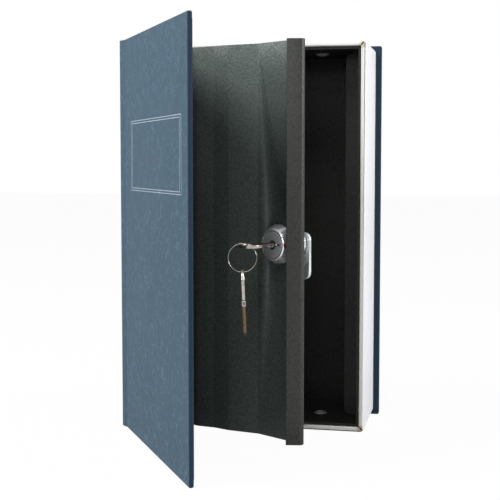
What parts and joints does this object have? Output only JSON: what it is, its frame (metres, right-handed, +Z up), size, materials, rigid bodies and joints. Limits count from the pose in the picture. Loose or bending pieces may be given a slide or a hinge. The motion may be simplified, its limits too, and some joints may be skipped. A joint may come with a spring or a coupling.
{
  "type": "book diversion safe",
  "caption": "Steel cash box with a keyed door, dressed as a small hardback book: cloth covers, false page block, cam lock, key and hanging spare key.",
  "frame": {"origin": "middle of the back cover's bottom edge, on which the safe stands", "axes": "+X from the spine to the fore edge, +Y from the front cover to the back cover, +Z up"},
  "size_m": [0.1161, 0.1481, 0.18],
  "materials": {
    "bookcloth": "slate-blue embossed bookcloth, matt",
    "endpaper": "black lining paper",
    "page_plastic": "white moulded strip ribbed like page edges",
    "hammertone_steel": "charcoal hammertone powder coat, semi-gloss",
    "zinc_steel": "zinc-plated",
    "chrome": "bright chrome plate",
    "nickel": "nickel-plated steel, slightly warm",
    "red_enamel": "red enamel dot"
  },
  "bodies": {
    "root": {"back_cover": "bookcloth", "back_endpaper": "endpaper", "spine": "bookcloth", "back_joint_cloth": "bookcloth", "front_joint_cloth": "bookcloth", "page_strip_head": "page_plastic", "page_strip_tail": "page_plastic", "page_strip_fore_edge": "page_plastic", "steel_box": "hammertone_steel", "strike_lip": "hammertone_steel", "hinge_box_leaf": "zinc_steel", "hinge_rod": "zinc_steel", "rivet_head_fore": "zinc_steel", "rivet_tail_fore": "zinc_steel", "rivet_head_spine": "zinc_steel", "rivet_tail_spine": "zinc_steel"},
    "steel_door": {"door_panel": "hammertone_steel", "hinge_door_leaf": "zinc_steel", "lock_housing": "chrome", "lock_washer": "zinc_steel", "lock_nut": "zinc_steel", "lock_mark": "red_enamel"},
    "lock_core": {"lock_plug": "chrome", "lock_cam": "chrome", "cam_screw": "zinc_steel", "key": "nickel"},
    "ring": {"key_ring": "nickel"},
    "spare": {"spare_key": "nickel"},
    "cover": {"front_cover": "bookcloth", "front_endpaper": "endpaper"}
  },
  "joints": [
    {"name": "steel_door_hinge", "type": "hinge", "parent": "root", "child": "steel_door", "pos_m": [-0.05625, -0.0504, 0.09], "axis": [0, 0, -1], "range_deg": [-34.2, 50.8]},
    {"name": "front_cover_hinge", "type": "hinge", "parent": "steel_door", "child": "cover", "pos_m": [-0.05625, -0.0504, 0.09], "axis": [0, 0, -1], "range_deg": [-9.9, 60.1], "deforming": ["front_joint_cloth"]},
    {"name": "key_turn", "type": "hinge", "parent": "steel_door", "child": "lock_core", "pos_m": [0.0167, -0.09998, 0.09], "axis": [-0.5621, -0.8271, 0], "range_deg": [0, 90]},
    {"name": "ring_swing", "type": "hinge", "parent": "steel_door", "child": "ring", "pos_m": [0.00941, -0.1082, 0.08535], "axis": [-0.2215, 0.9751, 0], "range_deg": [-15, 15]},
    {"name": "spare_key_swing", "type": "hinge", "parent": "ring", "child": "spare", "pos_m": [0.00941, -0.1082, 0.07955], "axis": [0.9751, 0.2215, 0], "range_deg": [-20, 20]}
  ]
}
